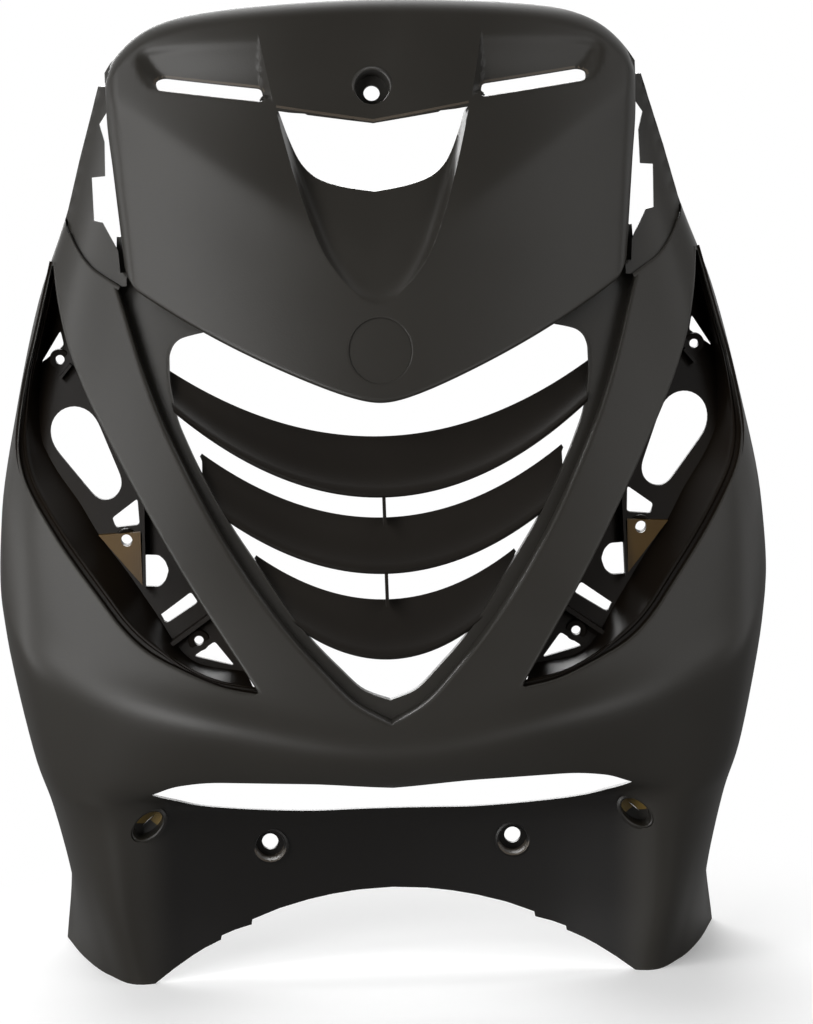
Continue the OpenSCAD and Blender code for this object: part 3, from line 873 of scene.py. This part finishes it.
# The section of a blade: share of its height, and how far back and up from its leaning plane
BLADE = [(1.0, 2.6, -0.5), (1.0, 0.0, 0.0), (0.85, 0.6, 0), (0.7, 1.4, 0), (0.55, 2.0, 0), (0.4, 2.2, 0),
         (0.28, 1.9, 0), (0.18, 1.2, 0), (0.1, 0.2, 0), (0.04, -0.7, 0), (0, -1.0, -0.6), (0, -0.8, -2.0),
         (0, 0.2, -3.0), (0, 1.6, -3.2), (0, 3.2, -2.6)]


def louvre_point(b, x, t):
    """A place on a louvre's leaning plane, t going from its foot to its top."""
    top, bottom = b[0] + b[1] * x * x, b[2] + b[3] * x * x
    z = bottom + (top - bottom) * t
    y = 22 + 0.447 * (bottom - 161) + 0.00085 * x * x
    return [x, y + 0.447 * (z - bottom) + 10 * (t - 0.2), z]


def make_louvre(b, k):
    """A blade: a thin leaning sheet, hollow across its height, that rolls round at its lower edge."""
    rows = []
    for t, dy, dz in BLADE:
        row = []
        for j in range(61):
            x = b[4] * (1 - 2 * j / 60)
            p = louvre_point(b, x, t)
            row.append([p[0], p[1] + dy, p[2] + dz])
        rows.append(row)
    # The blade takes the darker grille paint: painted shade.
    blade = finished(thicken(face_front(sheet(f"louvre_{k}", rows)), 2.2), grille_painted_shade)
    return carve(blade, through(grown(evened(opening_line, 4), 1.2)), "INTERSECT")


def make_rib(lower, upper):
    """The short web in the middle between two louvres."""
    z0, z1 = lower[0] - 2, upper[2] + 1
    y0, y1 = louvre_point(lower, 0, 0)[1], louvre_point(upper, 0, 0)[1]
    bpy.ops.object.select_all(action="DESELECT")
    bpy.ops.mesh.primitive_cube_add(size=1)
    rib = bpy.context.active_object
    for v in rib.data.vertices:
        front, high = v.co.y < 0, v.co.z > 0
        y = (y1 + 2 if front else y1 + 13) if high else (y0 + 8 if front else y0 + 18)
        v.co = Vector(metres([0.9 if v.co.x > 0 else -0.9, y, z1 if high else z0]))
    outward_faces(rib)
    # The rib takes the darker grille paint: painted shade.
    rib.data.materials.append(grille_painted_shade)
    return rib


def make_grille():
    parts = [make_louvre(b, k) for k, b in enumerate(LOUVRES)]
    parts += [make_rib(LOUVRES[k + 1], LOUVRES[k]) for k in (0, 1)]
    return joined("grille", parts)


# Indicator recesses

# The outer side of the recess slopes in from its rim to this foot
RECESS_FOOT = [[187, 396], [194, 366], [200, 338], [199, 309], [190, 290], [176, 272], [165, 255], [149, 236],
               [137, 220], [129, 209], [120, 195], [107, 186], [90, 184], [82, 183]]
RIM = [[189, 407]] + RECESS_OUTER + [[74, 176]]
BULB = hull(circle(178, 309.5, 15) + circle(161, 283.5, 10))
FLOOR_HOLES = [
    [[184, 358], [186, 366], [198, 347]],
    [[142, 275], [141, 261], [155, 259], [157, 264]],
    [[131, 212], [112, 225.5], [108, 220], [126, 208.5]],
    [[111, 191], [99, 199], [88, 186]],
]
D_HOLE = [[138.5, 228], [138.5, 245], [130, 245], [126.5, 242], [124.5, 237], [126.5, 231], [130, 228]]
# The ledge round the recess and the bead on it: share of its width, and depth behind the rim
RIM_BEAD = [(0.0, 1.2), (0.02, 2.6), (0.12, 4.4), (0.45, 4.6), (0.55, 3.7), (0.66, 3.2), (0.8, 3.3),
            (0.92, 4.0), (1.0, 5.4)]
# A small tilted facet round the middle lamp screw
FACET = [[165, 255], [140.5, 258], [139.8, 229]]
# Webs on the floor: name, line, thickness, and how far the front stands off the floor
WEBS = [("fold", [[138.6, 276], [138.6, 228]], 1.6, -9),
        ("web", [[124, 198], [101, 214]], 2.4, -7),
        ("spur", [[186.5, 340], [180, 348]], 1.6, -5)]


def recess_y(x, z):
    return skin_y(x, z) + RECESS_DEPTH


def facet_in(x, z):
    """How far the tilted facet lies behind the floor; it stands off it, so less than nothing."""
    return -3.0 - 0.1 * (z - 229) + 0.1 * (x - 140)


def between(a, b, t, y):
    """A place at a share t of the way from a to b in the front view, at a depth."""
    return [a[0] + (b[0] - a[0]) * t, y, a[1] + (b[1] - a[1]) * t]


def make_recess_side(rim, steps=60):
    """The recess's outer side: a ledge with its bead, and the slope from it to the foot."""
    foot = softened(evened(curve(RECESS_FOOT, 4), 3, closed=False), 3, closed=False)
    rows = []
    for k in range(steps + 1):
        a, b = along_line(rim, k / steps), along_line(foot, k / steps)
        edge, toe = on_skin(*a)[1], recess_y(*b)
        width = math.dist(a, b)
        ledge = min(5.4, 0.42 * width)
        row = [between(a, b, share * ledge / width, edge + deep) for share, deep in RIM_BEAD]
        for part in (0.12, 0.35, 0.6, 0.8, 0.93, 1.0):
            deep = edge + 4 + (toe - edge - 4) * part ** 0.75
            row.append(between(a, b, (ledge + (width - ledge) * part) / width, deep))
        row.append(between(a, b, 1.15, toe + 0.6))
        rows.append(row)
    return thicken(face_front(sheet("recess_side", rows)), 2.0)


def make_recess():
    """The right-hand recess: rim, sloping outer side, floor with its openings, pads and webs."""
    rim = softened(evened(curve(RIM, 4), 3, closed=False), 2, closed=False)
    side = make_recess_side(rim)
    floor_line = grown(evened(curve(RECESS_INNER, 3) + curve(RECESS_FOOT, 2), 4), 1.5)
    holes = [softened(evened(BULB, 2), 2)] + [softened(evened(h, 1.5), 1) for h in FLOOR_HOLES]
    holes += [softened(evened(D_HOLE, 1.5), 1)]
    holes += [circle(x, z, r) for x, z, r in LAMP_SCREWS]
    floor = plate("recess_floor", floor_line, recess_y, 0, gap=3.0, holes=holes)
    band_edge = curve(RECESS_INNER, 8)
    inwards = 1 if outward(band_edge, False)[9][0] <= 0 else -1
    inner = edge_roll(band_edge, on_skin, 1.2, RECESS_DEPTH + 1.6, closed=False, side=inwards)
    rest = edge_roll(rim, on_skin, 1.2, 2.6, closed=False)
    # The recess side and floor take the darker recess paint: painted shade.
    for part in (side, floor):
        finished(part, painted_recess_shade)
    parts = [side, floor, inner, rest]
    # Pads and webs take the same painted recess shade.
    for x, z, r in LAMP_SCREWS:
        place = [x, recess_y(x, z), z]
        profile = [(r, -0.4), (r + 0.4, -0.8), (5.6, -0.8), (6.2, -0.3), (6.2, 3.5), (r, 3.5)]
        parts.append(finished(turned("pad", profile, place, 0, 28), painted_recess_shade))
    for name, line, thick, front in WEBS:
        parts.append(finished(slab(name, line, thick, front, 2), painted_recess_shade))
    # The facet carries a painted golden glint.
    facet = plate("facet", FACET, recess_y, facet_in, gap=3, holes=[circle(*LAMP_SCREWS[1])])
    parts.append(finished(facet, facet_glint))
    return joined("recess", parts)


def slab(name, line, thick, front, rear):
    """A thin web along a line, from a depth in front of the floor of the recess to one behind it."""
    (x0, z0), (x1, z1) = line
    size = math.hypot(x1 - x0, z1 - z0)
    nx, nz = -(z1 - z0) / size * thick / 2, (x1 - x0) / size * thick / 2
    area = [[x0 + nx, z0 + nz], [x1 + nx, z1 + nz], [x1 - nx, z1 - nz], [x0 - nx, z0 - nz]]
    return prism(name, area, lambda x, z: recess_y(x, z) + front, lambda x, z: recess_y(x, z) + rear)


def along_line(line, s):
    """A point at a share of an open line's length."""
    lengths = [math.dist(a, b) for a, b in zip(line, line[1:])]
    want = s * sum(lengths)
    for (a, b), size in zip(zip(line, line[1:]), lengths):
        if want <= size or size == lengths[-1] and b is line[-1]:
            t = min(1.0, want / size)
            return [a[0] + (b[0] - a[0]) * t, a[1] + (b[1] - a[1]) * t]
        want -= size
    return list(line[-1])


# Fixings of the inner wall


def touched(obj, mat, picks):
    """Gives a second paint to the faces whose middles are picked."""
    obj.data.materials.append(mat)
    for face in obj.data.polygons:
        middle = face.center * 1000
        middle.y += MIDDLE_Y
        if picks(middle):
            face.material_index = 1
    return obj


def make_lower_fixing(side):
    """A counterbored screw hole; its lower inside carries a painted highlight."""
    x, z = side * LOWER_FIXING[0], LOWER_FIXING[1]
    y = skin_y(x, z)
    profile = [(10.6, -0.9), (9.4, -1.3), (8.6, -0.9), (8.3, 0.4), (8.3, 10), (4.75, 10), (4.75, 13),
               (10.7, 13), (10.7, 1)]
    ring = turned("lower_fixing", profile, [x, y, z], 0)

    def in_bore(p):
        return 7.6 < math.hypot(p.x - x, p.z - z) < 9.2 and p.z < z - 2 and p.y < y + 9

    return touched(ring, painted_rim_highlight, in_bore)


def make_corner_pocket(side):
    """An oval pocket in the corner of the inner wall, its mouth rounded over."""
    x, z = side * CORNER_POCKET[0], CORNER_POCKET[1]
    y = skin_y(x, z)
    profile = [(1.6, 0.0), (0.8, -0.5), (0.0, -0.7), (-0.7, -0.3), (-1.0, 0.8), (-1.3, 13), (-6.8, 13.4),
               (-6.8, 15.6), (1.6, 15.6), (1.6, 0.0)]
    rows = []
    for grow, depth in profile:
        line = oval(x, z, 11 + grow, 7 + grow, -side * POCKET_LEAN)
        rows.append([[u, y + depth, w] for u, w in line])
    pocket = sheet("corner_pocket", rows, ring=True)
    outward_faces(pocket)
    # The upper part of the pocket floor carries a painted ochre glint.
    return touched(pocket, ochre, lambda p: y + 11 < p.y < y + 14 and p.z > z - 1.5)


# Put together

hood = make_hood()
grille = make_grille()
recess_right = make_recess()
recess_right.name = "recess_right"
recess_left = flipped(recess_right)
recess_left.name = "recess_left"
shell_parts = [shell, ledge_floor, v_roll, opening_roll]
for side in (1, -1):
    shell_parts += set_back_flange(side)
    shell_parts += [make_lower_fixing(side), make_corner_pocket(side)]
shell = joined("shell", shell_parts)


# Finish

for piece in (shell, hood, grille, recess_right, recess_left):
    only(piece)
    bpy.ops.object.shade_smooth_by_angle(angle=math.radians(32))
    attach(piece, "root")
    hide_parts("front_panel")


# Studio

FLOOR_GLOW = 0.2
FLOOR_LIFT = 0.17
# What most lamps look at
AIM = (0, 0, 0.3)


def glow(nodes, links, strength):
    """White light of its own, as strong as another node says."""
    light = nodes.new("ShaderNodeEmission")
    light.inputs["Color"].default_value = (1, 1, 1, 1)
    links.new(strength, light.inputs["Strength"])
    return light.outputs["Emission"]


def make_floor():
    """A pale floor that keeps the soft shadow near the panel and turns to plain white further out."""
    bpy.ops.object.select_all(action="DESELECT")
    bpy.ops.mesh.primitive_plane_add(size=30, location=(0, 8, 0))
    floor = bpy.context.active_object
    floor.name = "studio_floor"
    mat = bpy.data.materials.new("studio_white")
    mat.use_nodes = True
    nodes, links = mat.node_tree.nodes, mat.node_tree.links
    shader = nodes["Principled BSDF"]
    shader.inputs["Roughness"].default_value = 0.9
    shader.inputs["Specular IOR Level"].default_value = 0.1
    place = nodes.new("ShaderNodeTexCoord")
    centre = nodes.new("ShaderNodeVectorMath")
    centre.operation = "SUBTRACT"
    centre.inputs[1].default_value = (0.03, -8.08, 0)
    links.new(place.outputs["Object"], centre.inputs[0])
    away = nodes.new("ShaderNodeVectorMath")
    away.operation = "LENGTH"
    links.new(centre.outputs["Vector"], away.inputs[0])
    mix = nodes.new("ShaderNodeMixShader")
    links.new(fade(nodes, links, away.outputs["Value"], 0.14, 0.37), mix.inputs["Fac"])
    seen = nodes.new("ShaderNodeLightPath").outputs["Is Camera Ray"]
    links.new(span(nodes, links, seen, 0.35, 0.9), shader.inputs["Base Color"])
    both = nodes.new("ShaderNodeAddShader")
    links.new(shader.outputs["BSDF"], both.inputs[0])
    links.new(glow(nodes, links, span(nodes, links, seen, 0.0, FLOOR_LIFT)), both.inputs[1])
    links.new(both.outputs["Shader"], mix.inputs[1])
    links.new(glow(nodes, links, span(nodes, links, seen, FLOOR_GLOW, 1.0)), mix.inputs[2])
    links.new(mix.outputs["Shader"], nodes["Material Output"].inputs["Surface"])
    floor.data.materials.append(mat)


def make_lamp(name, place, aim, size, watts):
    data = bpy.data.lights.new(name, "AREA")
    data.shape = "RECTANGLE"
    data.size, data.size_y = size
    data.energy = watts
    lamp = bpy.data.objects.new(name, data)
    bpy.context.collection.objects.link(lamp)
    lamp.location = place
    lamp.rotation_euler = (Vector(aim) - Vector(place)).to_track_quat("-Z", "Y").to_euler()


def make_world():
    """White behind the panel for the eye and for sheen, dimmer towards the camera, and a low even light."""
    world = bpy.data.worlds.new("studio")
    bpy.context.scene.world = world
    world.use_nodes = True
    nodes, links = world.node_tree.nodes, world.node_tree.links
    back = nodes["Background"]
    back.inputs["Color"].default_value = (1, 1, 1, 1)
    way = nodes.new("ShaderNodeTexCoord")
    parts = nodes.new("ShaderNodeSeparateXYZ")
    links.new(way.outputs["Generated"], parts.inputs[0])
    behind = fade(nodes, links, parts.outputs["Y"], -0.45, 0.5, low=0.04)
    path = nodes.new("ShaderNodeLightPath")
    shine = nodes.new("ShaderNodeMath")
    shine.operation = "MAXIMUM"
    links.new(path.outputs["Is Glossy Ray"], shine.inputs[0])
    links.new(path.outputs["Is Transmission Ray"], shine.inputs[1])
    soft = span(nodes, links, shine.outputs["Value"], 0.05, behind)
    links.new(span(nodes, links, path.outputs["Is Camera Ray"], soft, 1.0), back.inputs["Strength"])


def make_camera():
    """The photograph's view: a long lens a little to the left and above, turned slightly."""
    az, el, roll = math.radians(1.377), math.radians(10), math.radians(1.2695)
    look = Vector((math.sin(az) * math.cos(el), math.cos(az) * math.cos(el), -math.sin(el)))
    right = Vector((math.cos(az), -math.sin(az), 0))
    up = Vector((math.sin(az) * math.sin(el), math.cos(az) * math.sin(el), math.cos(el)))
    c, s = math.cos(roll), math.sin(roll)
    r, u = right * c - up * s, right * s + up * c
    data = bpy.data.cameras.new("camera")
    data.sensor_width = 36
    # The lens and its centre, as the photograph's pixels over its longer side
    data.lens = 36 * 4355 / 1024
    data.shift_x = (406.5 - 383.6) / 1024
    data.shift_y = (490.5 - 512) / 1024
    data.clip_end = 100
    cam = bpy.data.objects.new("camera", data)
    bpy.context.collection.objects.link(cam)
    place = Vector((0, -0.026, 0.280)) - look * 2.5
    cam.matrix_world = Matrix.Translation(place) @ Matrix((r, u, -look)).transposed().to_4x4()
    bpy.context.scene.camera = cam


make_floor()
make_world()
make_lamp("left_side", (-2.6, 0.0, 0.4), AIM, (1.3, 1.4), 20)
make_lamp("left_high", (-1.85, -1.1, 1.75), AIM, (1.1, 1.1), 26)
make_lamp("left_front", (-1.5, -2.1, 0.6), AIM, (1.3, 1.4), 50)
make_lamp("right_side", (2.6, 0.0, 0.4), AIM, (1.3, 1.4), 6)
make_lamp("right_high", (1.85, -1.1, 1.75), AIM, (1.1, 1.1), 9)
make_lamp("right_front", (1.5, -2.1, 0.6), AIM, (1.3, 1.4), 16)
make_lamp("top", (0.0, 1.3, 2.3), (0, 0, 0.1), (1.6, 1.4), 26)
make_lamp("back", (-0.4, 2.3, 1.1), AIM, (1.6, 1.2), 42)
make_camera()
bpy.context.scene.view_settings.view_transform = "Standard"
